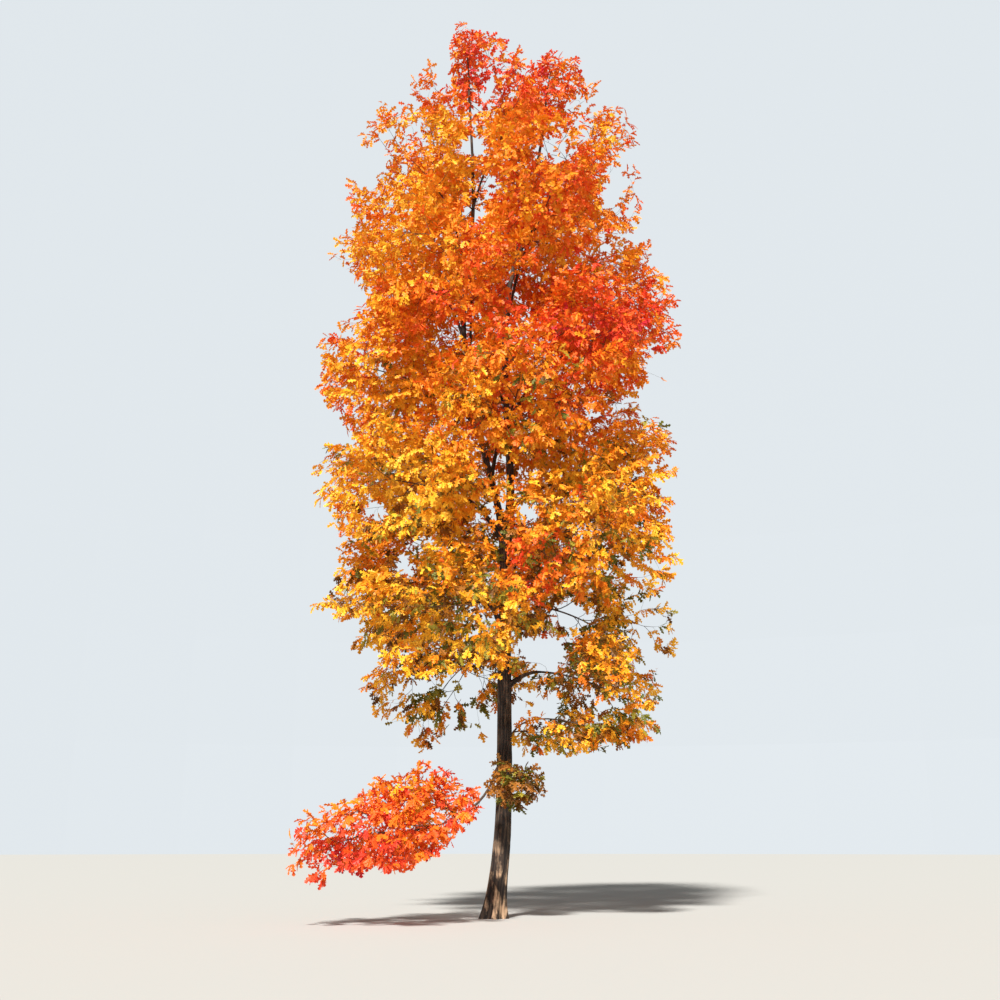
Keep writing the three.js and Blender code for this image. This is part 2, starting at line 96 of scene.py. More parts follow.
# Boughs
BOUGH_SLOPE_LOW, BOUGH_SLOPE_HIGH, BOUGH_LIFT = 0.36, 1.25, 0.12
BOUGH_PER_REACH, BOUGH_TIP, BOUGH_COLLAR, BOUGH_COLLAR_FALL = 0.0168, 0.027, 0.4, 8
BOUGH_OF_HOST, BOUGH_TIP_OF_BASE = 0.62, 0.85
LOWEST_BOUGH = 3.7
LOW_SWEEP = dict(
    name="low_sweep", start=3.3, centre=(-1.88, -2.12, 2.14), turn=-0.385, tilt=-0.34,
    size=(3.16, 1.9, 1.2), lift=0.16, twigs=9,
)
LOW_RIGHT = dict(
    name="low_right", start=2.25, centre=(0.52, -1.2, 2.9), turn=-0.2, tilt=0.2,
    size=(1.1, 1, 0.8), lift=-0.05, twigs=5,
)
LOW_LAYER = dict(
    name="low_layer", start=3.3, centre=(1.85, -0.85, 4.08), turn=-0.06, tilt=0.06,
    size=(1.85, 1.3, 0.76), lift=0.1, twigs=5,
)
TOP_LEFT = dict(name="top_left", turn=0.5, tilt=1.5, size=(1.7, 1.1, 0.75), twigs=8)
TOP_RIGHT = dict(name="top_right", turn=0, tilt=1.45, size=(1.6, 1.3, 1.2), twigs=7)
TOP_ENTRY = 0.6

# Bark's relief: long smooth ridges between narrow furrows. A pace is in radians for each metre along a
# limb, a number of turns is counted round it, and a phase sets one limb's pattern apart from the next.
TRUNK_MESH = dict(sides=112, coarse=70, fine=3, foot_detail=1.5, ridges=15)
STEM_MESH = dict(sides=56, coarse=48, fine=3, foot_detail=1, ridges=13)
BOUGH_MESH = dict(sides=26, coarse=40, fine=1, foot_detail=1, ridges=7)
TRUNK_PHASE, STEM_PHASE, FIRST_BOUGH_PHASE, BOUGH_PHASE_STEP = 0.4, 2.1, 0.7, 1.9
BOUGH_SECTIONS = 121
RIDGE_DEPTH = 0.052  # of the limb's radius
RIDGE_LEVEL = 0.7  # the height, from furrow to ridge, that lies at the limb's plain radius
RIDGE_FLATNESS = 2.2
DRIFTS = [(1, 0.9, 1.5), (2, -1.7, 1.2), (3, 3.1, 1), (5, -5.3, 0.8), (7, 8.1, 0.6)]  # turns, pace, size
SPLIT_DRIFT, SPLIT_PACE, SPLIT_DEPTH, SPLIT_SHARPNESS = 1.3, 1.7, 0.35, 3
BREAK_TURNS, BREAK_PACES, BREAK_DRIFT = (7, 3), (9.3, -5.1), 2
BREAK_EDGE, BREAK_DEPTH = (0.45, 0.95), 0.35
SWELL, SWELL_PACES = 0.035, (1.3, 2.1)  # slow swellings, of the radius from the narrowest to the widest
RIM_ANGLE = math.radians(62)
LEVEL_GAP = 1e-4  # height between an edge's ends, on the cylinder of height 1, from which it isn't level

# Twigs
TWIGS_PER_MASS = 6
MASS_STEM_REACH, MASS_STEM_BEND = 1.12, 0.45
MASS_STEM_STEPS, MASS_STEM_SIDES = 14, 6
FIRST_JOINT = 0.05  # share of a mass's stem where twigs may start
SPREAD = (0.8191725, 0.6710436, 0.5497005)  # steps of an even sequence of points in a box
MAIN_SHELL = (0.2, 0.56)  # where main twigs end, as shares of a mass's half lengths
MAIN_SHELL_POWER = 0.5
FINE_SHELL = (0.2, 1.0)
FINE_SHELL_POWER = 0.48
MAIN_TRIES = 400
TIPS_PER_CUBIC_METRE = 37
DENSER = {"low_right": 1.25}  # masses with more twigs than that, and how many times more
CLUMP_WAVES, CLUMP_SHORTEST, CLUMP_LONGEST = 14, 0.9, 1.9
CLUMP_FLATNESS = 1.9  # the gaps between clumps of sprays are this much flatter than wide
CLUMP_GAPS = 0.71  # twigs end where the clumps' waves are under this
WAY_BACK = 0.35
TWIG_BEND = 0.42  # how far a twig keeps its parent's way, as a share of its length
STEP_LENGTH = 0.19
LEAST_STEPS, MOST_STEPS = 2, 7
LONGEST_TWIG = 0.9
TWIG_TIP, TWIG_SIDES = 0.0026, 3
SPACE_MARGIN = 0.13  # twigs end this far inside a mass's space
SPACE_SLACK, LEAF_SLACK = 0.2, 0.3  # how far twigs and leaves may pass the walls between the masses
LIMB_CLEARANCE = 0.12
HOST_SAMPLES, BOUGH_SAMPLES, BOUGH_SAMPLED = 160, 16, 0.94  # points for that clearance, and the last share
SEED = 7100

# Leaves
LEAF_LENGTH, LEAF_VARIES = 0.2, 0.2
LEAF_OUTLINE = [
    (0.26, 0.18), (0.36, 0.06), (0.6, 0.34), (0.64, 0.08), (0.86, 0.22),
]  # along and across one side: a lobe, a notch, the widest lobe, a notch, a lobe
LEAVES_PER_SPRAY = 5
LEAF_SPREAD = (0.35, 1.35)  # radians from the twig's way, at the spray's end and at its back
LEAF_SPREAD_LEAST, LEAF_SPREAD_VARIES = 0.85, 0.3
LEAF_SPREAD_UP = 0.6  # of the spread to the sides
LEAF_STEP = 0.028
LEAF_OUTWARD = 0.35  # how far leaves turn away from the middle of their mass
LEAF_FACING = 0.75  # how far they face outward, and as far upward
LEAF_DROOP = (0.05, 1)
LEAF_FOLD = (-0.25, 0.5)
LEAF_CURL = (0.05, 0.45)
LEAF_LEAN = 0.72
LEAF_CLEARANCE = 0.05
BOX_MARGIN = 0.012  # of each side of the solids' box, how far leaves may stand out of it

# Camera, and where the sky shows through the crown in its picture: the middle and half size of each
# opening, in thousandths of the picture's side from its upper left corner
CAMERA_PLACE = (0.158, -27.86, 1.6)
CAMERA_PITCH = math.radians(16.45)
CAMERA_LENS, CAMERA_SENSOR = 42, 36
PICTURE_SIDE = 1000
OPENINGS = np.array([
    (544, 650, 34, 26), (572, 614, 26, 20), (556, 150, 23, 17), (471, 146, 18, 15), (490, 183, 12, 15),
    (615, 190, 16, 20), (475, 213, 12, 17), (530, 513, 13, 12), (376, 508, 14, 12), (404, 565, 16, 11),
    (462, 684, 32, 22),
])
OPENING_EDGE = (0.6, 1.2)  # of the half size, between which ever more twigs end


def mix(low, high, share):
    return low + (high - low) * share


def unit(vectors):
    return vectors / np.maximum(np.linalg.norm(vectors, axis=-1, keepdims=True), LEAST_LENGTH)


def dot(one, other):
    return np.sum(one * other, axis=-1)


# An axis well away from each way: up, or sideways where the way itself is steep.
def helper_axes(ways):
    return np.where(np.abs(ways[:, 2:]) < STEEP, UP, SIDEWAYS)


def smooth_step(value, low, high):
    share = np.clip((value - low) / (high - low), 0, 1)
    return share * share * (3 - 2 * share)


# The first number, from 0 to 1, of the stream that a seed gives.
def first_number(seed):
    whole = 0xFFFFFFFF
    state = (seed + 0x6D2B79F5) & whole
    mixed = ((state ^ (state >> 15)) * (state | 1)) & whole
    mixed = ((mixed + (((mixed ^ (mixed >> 7)) * (mixed | 61)) & whole)) & whole) ^ mixed
    return (mixed ^ (mixed >> 14)) / 2**32


# Lines and radii of the limbs


# Many points of a smooth line through a few given ones.
def fine_line(points):
    spans = len(points) - 1
    made = []
    for k in range(spans):
        before, after = points[max(0, k - 1)], points[min(spans, k + 2)]
        slope, next_slope = (points[k + 1] - before) / 2, (after - points[k]) / 2
        step = points[k + 1] - points[k]
        t = np.linspace(0, 1, LINE_STEPS + 1)[:, None]
        bend, twist = 3 * step - 2 * slope - next_slope, slope + next_slope - 2 * step
        made.append(points[k] + slope * t + bend * t**2 + twist * t**3)
    return np.concatenate([part[:-1] for part in made[:-1]] + [made[-1]])


def trunk_radius(height, angle=0.0):
    taper = mix(TRUNK_FOOT, TRUNK_TOP, height / TRUNK_LINE[-1][2])
    past_fork = smooth_step(height, FORK_HEIGHT - FORK_BELOW, FORK_HEIGHT + FORK_ABOVE)
    plain = np.maximum(TRUNK_LEAST, taper * (1 - FORK_SHARE * past_fork))
    fade = np.exp(-height / FLARE_HEIGHT)
    return plain * (1 + fade * (FLARE_RISE + FLARE_DEPTH * np.cos(FLARE_LOBES * angle + FLARE_TURN)))


def stem_radius(height, angle=0.0):
    foot, top = STEM_LINE[0][2], STEM_LINE[-1][2]
    share = (height - foot) / (top - foot)
    return mix(STEM_FOOT, STEM_TIP, share) * (1 + STEM_COLLAR * np.exp(-STEM_COLLAR_FALL * share))


def host_of(points, radius):
    line = fine_line(points)

    def at(height):
        return np.stack([np.interp(height, line[:, 2], line[:, axis]) for axis in range(3)], axis=-1)

    return SimpleNamespace(at=at, radius=radius, foot=points[0][2], top=points[-1][2])


TRUNK = host_of(TRUNK_LINE, trunk_radius)
STEM = host_of(STEM_LINE, stem_radius)


# A curve that leaves start towards control and comes to end from it.
def bent_line(start, control, end, shares):
    t = np.asarray(shares)[..., None]
    return start * (1 - t) ** 2 + control * 2 * t * (1 - t) + end * t**2


# Points and ways of a bent line, evenly spaced along it, and its length.
def even_line(start, control, end, count):
    dense = bent_line(start, control, end, np.linspace(0, 1, DENSE_STEPS))
    run = np.concatenate([[0], np.cumsum(np.linalg.norm(np.diff(dense, axis=0), axis=1))])
    places = np.linspace(0, run[-1], count)
    points = np.stack([np.interp(places, run, dense[:, axis]) for axis in range(3)], axis=-1)
    return points, unit(np.gradient(points, axis=0)), run[-1]


# Masses and their spaces


def crown_radius(height):
    above = height > CROWN_WIDEST
    reach = np.where(above, CROWN_TOP - CROWN_WIDEST, CROWN_WIDEST - CROWN_BOTTOM)
    power = np.where(above, CROWN_POWER_ABOVE, CROWN_POWER_BELOW)
    share = np.minimum(1, np.abs(height - CROWN_WIDEST) / reach)
    return CROWN_RADIUS * (1 - share**power) ** (1 / power)


def level_way(turn):
    return np.array([math.cos(turn * TURN), math.sin(turn * TURN), 0.0])


# A mass's three axes: along, which points outward and up by the tilt, across, and through.
def mass_axes(turn, tilt):
    out = level_way(turn)
    across = np.cross(UP, out)
    along = out * math.cos(tilt) + UP * math.sin(tilt)
    return np.array([along, across, np.cross(along, across)])


def spiral_mass(index):
    share = (index + 0.5) / BOUGH_COUNT
    turn = FIRST_TURN + index * GOLDEN_TURN
    out = level_way(turn)
    level = mix(MASS_LOW, MASS_HIGH, share)
    height = level + FRONT_RISE * max(0, -out[1]) * max(0, 1 - level / FRONT_UP_TO) ** FRONT_POWER
    tilt = mix(TILT_LOW, TILT_HIGH, share**TILT_POWER)
    size = mix(SIZE_LOW, SIZE_HIGH, share)
    inward = math.hypot(size[0] * math.cos(tilt), size[2] * math.sin(tilt))
    distance = max(NEAREST_CENTRE, crown_radius(height) - inward)
    centre = np.array([CROWN_X, CROWN_Y, height]) + out * distance
    axes = mass_axes(turn, tilt)
    entry = centre - axes[0] * ENTRY * size[0]
    run = math.hypot(entry[0] - CROWN_X, entry[1] - CROWN_Y)
    foot = max(LOWEST_BOUGH, entry[2] - run * mix(BOUGH_SLOPE_LOW, BOUGH_SLOPE_HIGH, share))
    gaps = [np.linalg.norm(host.at(foot) - entry) for host in (STEM, TRUNK)]
    host = STEM if foot > STEM_LINE[1][2] and gaps[0] < gaps[1] else TRUNK
    return SimpleNamespace(
        name=f"{index + 1:02d}", centre=centre, size=size, axes=axes, entry=entry, host=host,
        foot=foot, lift=BOUGH_LIFT, twigs=TWIGS_PER_MASS, space=size * FILL, in_crown=True,
    )


def extra_mass(name, start, centre, turn, tilt, size, lift, twigs):
    axes, size = mass_axes(turn, tilt), np.array(size)
    entry = np.array(centre) - axes[0] * ENTRY * size[0]
    return SimpleNamespace(
        name=name, centre=np.array(centre), size=size, axes=axes, entry=entry, host=TRUNK,
        foot=start, lift=lift, twigs=twigs, space=size, in_crown=False,
    )


def top_mass(host, name, turn, tilt, size, twigs):
    axes, size = mass_axes(turn, tilt), np.array(size)
    entry = host.at(host.top)
    return SimpleNamespace(
        name=name, centre=entry + axes[0] * TOP_ENTRY * size[0], size=size, axes=axes, entry=entry,
        host=host, foot=None, twigs=twigs, way=UP, tip=host.radius(host.top), space=size, in_crown=False,
    )


bough_masses = [spiral_mass(index) for index in range(BOUGH_COUNT)]
bough_masses += [extra_mass(**extra) for extra in (LOW_SWEEP, LOW_RIGHT, LOW_LAYER)]
masses = bough_masses + [top_mass(TRUNK, **TOP_LEFT), top_mass(STEM, **TOP_RIGHT)]
CENTRES = np.array([mass.centre for mass in masses])


# How far out points lie in the crown, drawn in by a margin: 0 on its axis at its widest height, and 1
# on its outline.
def crown_reach(points, margin):
    above = points[..., 2] > CROWN_WIDEST
    power = np.where(above, CROWN_POWER_ABOVE, CROWN_POWER_BELOW)
    reach = np.where(above, CROWN_TOP - CROWN_WIDEST, CROWN_WIDEST - CROWN_BOTTOM) - margin
    height = np.abs(points[..., 2] - CROWN_WIDEST) / reach
    out = np.hypot(points[..., 0] - CROWN_X, points[..., 1] - CROWN_Y) / (CROWN_RADIUS - margin)
    return (height**power + out**power) ** (1 / power)


# Waves that run in all directions. Their sum makes lumps.
def make_waves(count, shortest, longest):
    k = np.arange(count)
    level = 1 - (2 * k + 1) / count
    ring, turn = np.sqrt(1 - level**2), (k * GOLDEN_TURN + WAVE_TURN) * TURN
    ways = np.stack([ring * np.cos(turn), ring * np.sin(turn), level], axis=-1)
    lengths = mix(shortest, longest, (k * SPREAD[0]) % 1)
    return ways * (TURN / lengths)[:, None], (k * SPREAD[1] + WAVE_PHASE) % 1 * TURN


LUMPS = make_waves(LUMP_WAVES, LUMP_SHORTEST, LUMP_LONGEST)
CLUMPS = make_waves(CLUMP_WAVES, CLUMP_SHORTEST, CLUMP_LONGEST)


# How deep an outline dips at points, from 0 to 1.
def dip_at(points, waves):
    ways, phases = waves
    total = np.cos(points @ ways.T + phases).sum(axis=-1)
    return (1 + np.tanh(total * math.sqrt(2 / len(phases)))) / 2


# True for the points inside a mass's ellipsoid and the crown's outline, both drawn in by a margin, and
# on its side of the walls between it and the other masses, which are pushed out by slack.
def in_space(mass, points, margin, slack):
    away = points - mass.centre
    reach = np.linalg.norm(away @ mass.axes.T / (mass.space - margin), axis=-1)
    if mass.in_crown:
        reach = np.maximum(reach, crown_reach(points, margin))
    inside = reach <= 1 - LUMP_DEPTH * dip_at(points, LUMPS)
    others = CENTRES[np.any(CENTRES != mass.centre, axis=1)] - mass.centre
    apart = np.linalg.norm(others, axis=1)
    return inside & np.all(away @ (others / apart[:, None]).T < (apart - CELL_GAP) / 2 + slack, axis=-1)


# Gives a mass its bough: a bent line from the host to the mass, and the radius at a share of its length.
def plan_bough(mass):
    start = mass.host.at(mass.foot)
    length = np.linalg.norm(mass.entry - start)
    control = (start + mass.entry) / 2 + UP * 2 * mass.lift * length
    most = BOUGH_OF_HOST * mass.host.radius(mass.foot)
    base = min(BOUGH_PER_REACH * (length + 2 * mass.size[0]), most)
    tip = min(BOUGH_TIP, base * BOUGH_TIP_OF_BASE)

    def radius(share):
        return mix(base, tip, share) * (1 + BOUGH_COLLAR * np.exp(-BOUGH_COLLAR_FALL * share))

    mass.bough, mass.bough_radius = (start, control, mass.entry), radius
    mass.tip, mass.way = tip, unit(mass.entry - control)


for mass in bough_masses:
    plan_bough(mass)


# Points along all limbs, with the limb's radius there, to keep foliage clear of them.
def limb_points():
    points, radii = [], []
    for host in (TRUNK, STEM):
        heights = np.linspace(host.foot, host.top, HOST_SAMPLES)
        points.append(host.at(heights))
        radii.append(host.radius(heights))
    for mass in bough_masses:
        shares = np.linspace(0, BOUGH_SAMPLED, BOUGH_SAMPLES)
        line, _, _ = even_line(*mass.bough, BOUGH_SAMPLES + 1)
        points.append(line[:BOUGH_SAMPLES])
        radii.append(mass.bough_radius(shares))
    return np.concatenate(points), np.concatenate(radii)


LIMB_POINTS, LIMB_RADII = limb_points()
BOX_SPARE = (CAD_BOX[1] - CAD_BOX[0]) * BOX_MARGIN


# True for the points inside the solids' box, grown by a number of its margins.
def in_box(points, margins):
    low, high = CAD_BOX[0] - BOX_SPARE * margins, CAD_BOX[1] + BOX_SPARE * margins
    return np.all((points >= low) & (points <= high), axis=-1)


# How near points come to the middle of an opening, as the camera sees them: under 1 inside it.
def opening_reach(points):
    away = points - np.array(CAMERA_PLACE)
    ahead = away[..., 1] * math.cos(CAMERA_PITCH) + away[..., 2] * math.sin(CAMERA_PITCH)
    up = away[..., 2] * math.cos(CAMERA_PITCH) - away[..., 1] * math.sin(CAMERA_PITCH)
    seen = np.stack([away[..., 0], -up], axis=-1) / ahead[..., None] * CAMERA_LENS / CAMERA_SENSOR
    places = PICTURE_SIDE / 2 + PICTURE_SIDE * seen
    gaps = (places[..., None, :] - OPENINGS[:, :2]) / OPENINGS[:, 2:]
    return np.linalg.norm(gaps, axis=-1).min(axis=-1)


# True for the points that are farther than the clearance from every limb's bark.
def clear_of_limbs(points, clearance):
    gaps = np.linalg.norm(points[:, None] - LIMB_POINTS[None], axis=2) - LIMB_RADII
    return gaps.min(axis=1) > clearance


# Wood of a mass


# Even points in a mass's space, pushed outward between two shells: the whole sequence from 1 to tries.
def tips_of(mass, offset, tries, shell, power, margin, slack):
    a, b, c = [(offset + np.arange(1, tries) * step) % 1 for step in SPREAD]
    level = 2 * a - 1
    ring = np.sqrt(1 - level**2)
    parts = np.stack([level, ring * np.cos(b * TURN), ring * np.sin(b * TURN)], axis=-1)
    parts *= mix(*shell, c**power)[:, None]
    points = mass.centre + (parts * (mass.space - margin)) @ mass.axes
    return points[in_space(mass, points, margin, slack)]


# The points of a mass's wood. Each has its way, its run back to the stem's foot and the point before it.
class Wood:
    def __init__(self, capacity):
        self.points = np.zeros((capacity, 3))
        self.ways = np.zeros((capacity, 3))
        self.back = np.zeros(capacity)
        self.before = np.full(capacity, -1)
        self.open_from = 0
        self.count = 0
        self.twigs = []

    def add(self, point, way, before):
        k = self.count
        step = np.linalg.norm(point - self.points[before]) if before >= 0 else 0
        self.points[k], self.ways[k], self.before[k] = point, way, before
        self.back[k] = self.back[before] + step if before >= 0 else 0
        self.count += 1
        return k

    # A twig from the point that is nearest, counting some of its way back, to the twig's end. False where
    # it would be too long.
    def grow(self, end, least_steps, longest):
        reach = slice(self.open_from, self.count)
        gaps = end - self.points[reach]
        runs = np.linalg.norm(gaps, axis=1)
        k = int(np.argmin(runs + WAY_BACK * self.back[reach])) + self.open_from
        start, length = self.points[k], runs[k - self.open_from]
        if length > longest:
            return False
        lead = unit(self.ways[k] + unit(end - start))
        control = start + lead * length * TWIG_BEND
        steps = int(np.clip(round(length / STEP_LENGTH), least_steps, MOST_STEPS))
        shares = np.arange(1, steps + 1) / steps
        line = bent_line(start, control, end, shares)
        chain = [k]
        for point, share in zip(line, shares):
            way = unit((control - start) * (1 - share) + (end - control) * share)
            chain.append(self.add(point, way, chain[-1]))
        self.twigs.append(chain)
        return True

    # How many twig ends each point carries.
    def loads(self):
        counts = np.zeros(self.count, int)
        counts[[chain[-1] for chain in self.twigs]] = 1
        for k in range(self.count - 1, 0, -1):
            counts[self.before[k]] += counts[k]
        return counts


# A mass's wood: its stem, its main twigs from the nearest to the farthest, and then its finer twigs. Those
# that would be too long are tried once more at the end.
def grow_mass(mass, seed):
    offset = first_number(seed)
    main = tips_of(mass, offset, MAIN_TRIES, MAIN_SHELL, MAIN_SHELL_POWER, 0, 0)[: mass.twigs]
    main = main[np.argsort(np.linalg.norm(main - mass.entry, axis=1))]
    volume = 4 / 3 * math.pi * np.prod(mass.space)
    tries = int(TIPS_PER_CUBIC_METRE * DENSER.get(mass.name, 1) * volume)
    fine = tips_of(mass, offset, tries, FINE_SHELL, FINE_SHELL_POWER, SPACE_MARGIN, SPACE_SLACK)
    fine = fine[clear_of_limbs(fine, LIMB_CLEARANCE) & in_box(fine, 0)]
    fine = fine[dip_at(fine * (1, 1, CLUMP_FLATNESS), CLUMPS) < CLUMP_GAPS]
    fine = fine[opening_reach(fine) > mix(*OPENING_EDGE, (np.arange(len(fine)) * SPREAD[0]) % 1)]

    length = MASS_STEM_REACH * mass.size[0]
    control = mass.entry + mass.way * length * MASS_STEM_BEND
    end = mass.entry + mass.axes[0] * length
    line, ways, _ = even_line(mass.entry, control, end, MASS_STEM_STEPS + 1)
    wood = Wood(len(line) + (len(main) + len(fine)) * MOST_STEPS)
    wood.twigs.append([wood.add(point, way, k - 1) for k, (point, way) in enumerate(zip(line, ways))])
    wood.open_from = round(FIRST_JOINT * MASS_STEM_STEPS)
    for point in main:
        wood.grow(point, LEAST_STEPS + 1, math.inf)
    too_far = [point for point in fine if not wood.grow(point, LEAST_STEPS, LONGEST_TWIG)]
    for point in too_far:
        wood.grow(point, LEAST_STEPS, LONGEST_TWIG)
    return wood


# Joined meshes


class Parts:
    """Points and faces of many small forms that become one mesh."""

    def __init__(self):
        self.points, self.faces, self.count = [], [], 0

    def add(self, points, faces):
        flat = points.reshape(-1, 3)
        self.points.append(flat)
        self.faces.append(faces + self.count)
        self.count += len(flat)

    def mesh(self, name, smooth):
        made = bpy.data.meshes.new(name)
        points, faces = np.concatenate(self.points), np.concatenate(self.faces)
        made.vertices.add(len(points))
        made.vertices.foreach_set("co", points.astype(np.float32).ravel())
        made.loops.add(faces.size)
        made.loops.foreach_set("vertex_index", faces.astype(np.int32).ravel())
        made.polygons.add(len(faces))
        made.polygons.foreach_set("loop_start", np.arange(0, faces.size, 3, dtype=np.int32))
        made.polygons.foreach_set("use_smooth", np.full(len(faces), smooth))
        made.update(calc_edges=True)
        made.validate()
        made_object = bpy.data.objects.new(name, made)
        bpy.context.scene.collection.objects.link(made_object)
        return made_object


# Tubes of a few sides along many lines of the same number of points, each ending in a point.
def add_tubes(parts, lines, radii, sides):
    count, steps, _ = lines.shape
    chord = unit(lines[:, -1] - lines[:, 0])
    aside = unit(np.cross(chord, helper_axes(chord)))[:, None]
    ways = unit(np.gradient(lines, axis=1))
    first = unit(aside - ways * dot(aside, ways)[..., None])
    second = np.cross(ways, first)
    angles = np.arange(sides) * TURN / sides
    rings = (
        lines[:, :-1, None]
        + radii[:, :-1, None, None]
        * (first[:, :-1, None] * np.cos(angles)[:, None] + second[:, :-1, None] * np.sin(angles)[:, None])
    )
    points = np.concatenate([rings.reshape(count, -1, 3), lines[:, -1:]], axis=1)
    faces = []
    for ring in range(steps - 2):
        for side in range(sides):
            a, b = ring * sides + side, ring * sides + (side + 1) % sides
            faces += [(a, b, b + sides), (a, b + sides, a + sides)]
    last, tip = (steps - 2) * sides, (steps - 1) * sides
    faces += [(last + side, last + (side + 1) % sides, tip) for side in range(sides)]
    faces = np.array(faces)[None] + np.arange(count)[:, None, None] * (tip + 1)
    parts.add(points, faces.reshape(-1, 3))


# A mass's stem and twigs. A limb is as thick as the number of twig ends that it carries asks for.
def add_wood(parts, mass, wood):
    loads = wood.loads()
    power = math.log(mass.tip / TWIG_TIP) / math.log(loads[0])
    radii = TWIG_TIP * np.maximum(loads, 1) ** power
    by_steps = {}
    for chain in wood.twigs[1:]:
        by_steps.setdefault(len(chain), []).append(chain)
    stem = np.array([wood.twigs[0]])
    add_tubes(parts, wood.points[stem], radii[stem], MASS_STEM_SIDES)
    for chains in by_steps.values():
        chains = np.array(chains)
        thick = radii[chains]
        thick[:, 0] = thick[:, 1]  # a twig starts no thicker than it goes on, whatever it grows from
        add_tubes(parts, wood.points[chains], thick, TWIG_SIDES)


# Leaves

LEAF_BASE, LEAF_TIP, ONE_SIDE = 0, 1, 2  # numbers of a leaf's points: the midrib's ends, then each side's
OTHER_SIDE = ONE_SIDE + len(LEAF_OUTLINE)
LEAF_CORNERS = [LEAF_TIP, ONE_SIDE + 2, OTHER_SIDE + 2]  # the tip and the two widest lobes


# The outline's points and faces: base and tip of the midrib, then one side and the other.
def leaf_form():
    flat = [(0, 0), (1, 0)] + LEAF_OUTLINE + [(x, -y) for x, y in LEAF_OUTLINE]
    faces = []
    for first in (ONE_SIDE, OTHER_SIDE):
        lobe, notch, wide, second_notch, last = range(first, first + len(LEAF_OUTLINE))
        half = [
            (LEAF_BASE, lobe, notch), (notch, wide, second_notch), (second_notch, last, LEAF_TIP),
            (LEAF_BASE, notch, second_notch), (LEAF_BASE, second_notch, LEAF_TIP),
        ]
        faces += [face[::-1] for face in half] if first == ONE_SIDE else half
    return np.array(flat, float), np.array(faces)


LEAF_FLAT, LEAF_FACES = leaf_form()


# Corner points of many leaves. The arrays hold one row for each leaf.
def leaf_points(root, way, over, length, fold, curl):
    along, across = LEAF_FLAT[:, 0], LEAF_FLAT[:, 1]
    side = np.cross(over, way)
    raised = fold[:, None] * np.abs(across) - curl[:, None] * along**2
    local = along[None, :, None] * way[:, None] + across[None, :, None] * side[:, None]
    return root[:, None] + length[:, None, None] * (local + raised[..., None] * over[:, None])


# The leaves of every spray of a mass, with the number of the spray that each belongs to, and the
# sprays' places.
def spray_leaves(mass, wood, random):
    ends = np.array([chain[-1] for chain in wood.twigs])
    starts = np.array([chain[-2] for chain in wood.twigs])
    count, each = len(ends), LEAVES_PER_SPRAY
    tips, ways = wood.points[ends], unit(wood.points[ends] - wood.points[starts])
    outward = unit(unit((tips - mass.centre) @ mass.axes.T / mass.size) @ mass.axes)
    side = unit(np.cross(helper_axes(ways), ways))
    top = np.cross(ways, side)

    order = np.arange(each)
    turn = random.random(count)[:, None] * TURN + order * GOLDEN_TURN * TURN
    spread = mix(*LEAF_SPREAD, order / (each - 1))
    spread = spread * (LEAF_SPREAD_LEAST + LEAF_SPREAD_VARIES * random.random((count, each)))
    aside = side[:, None] * np.cos(turn)[..., None]
    aside = aside + LEAF_SPREAD_UP * top[:, None] * np.sin(turn)[..., None]
    way = ways[:, None] * np.cos(spread)[..., None] + unit(aside) * np.sin(spread)[..., None]
    droop = mix(*LEAF_DROOP, random.random((count, each)))
    way = unit(way + LEAF_OUTWARD * outward[:, None] - UP * droop[..., None])
    lean = random.standard_normal((count, each, 3))
    over = outward[:, None] * LEAF_FACING + UP * LEAF_FACING + LEAF_LEAN * lean
    over = unit(over - way * dot(over, way)[..., None])
    root = tips[:, None] - ways[:, None] * (order * LEAF_STEP)[None, :, None]
    length = LEAF_LENGTH * (1 + LEAF_VARIES * (2 * random.random((count, each)) - 1))
    fold = mix(*LEAF_FOLD, random.random((count, each)))
    curl = mix(*LEAF_CURL, random.random((count, each)))
    rows = [values.reshape(-1, *values.shape[2:]) for values in (root, way, over, length, fold, curl)]
    points = leaf_points(*rows)
    spray = np.repeat(np.arange(count), each)

    keep = np.all(in_space(mass, points[:, LEAF_CORNERS], 0, LEAF_SLACK), axis=1)
    keep &= np.all(in_box(points, 1), axis=1)
    keep &= clear_of_limbs(points.mean(axis=1), LEAF_CLEARANCE)
    return points[keep], spray[keep], tips


# Tints, from gold to crimson, and those of sprays that are still greenish or withered early. These dark
# olive and brown ones are also painted shade, as they are dealt out most near the crown's axis and deep
# inside the masses
TINTS = [
    ("gold", "leaf_gold", "f4b62c"),
    ("gold_deep", "leaf_gold", "eea41f"),
    ("amber", "leaf_amber", "f29a1c"),
    ("amber_deep", "leaf_amber", "e78a18"),
    ("orange", "leaf_orange", "f0821a"),
    ("orange_deep", "leaf_orange", "e87318"),
    ("vermilion", "leaf_vermilion", "f0671f"),
    ("vermilion_deep", "leaf_vermilion", "ea581f"),
    ("scarlet", "leaf_scarlet", "e84826"),
    ("scarlet_deep", "leaf_scarlet", "dc3c26"),
    ("crimson", "leaf_crimson", "d0343c"),
]
AGED_TINTS = [
    ("olive", "leaf_olive", "98892a"),
    ("olive_deep", "leaf_olive", "6c6a22"),
    ("brown", "leaf_brown", "6c4516"),
    ("russet", "leaf_brown", "9a5f1c"),
]
AGED_KINDS = (0.28, 0.5, 0.68)  # of the aged sprays, up to which they are olive, deep olive and brown

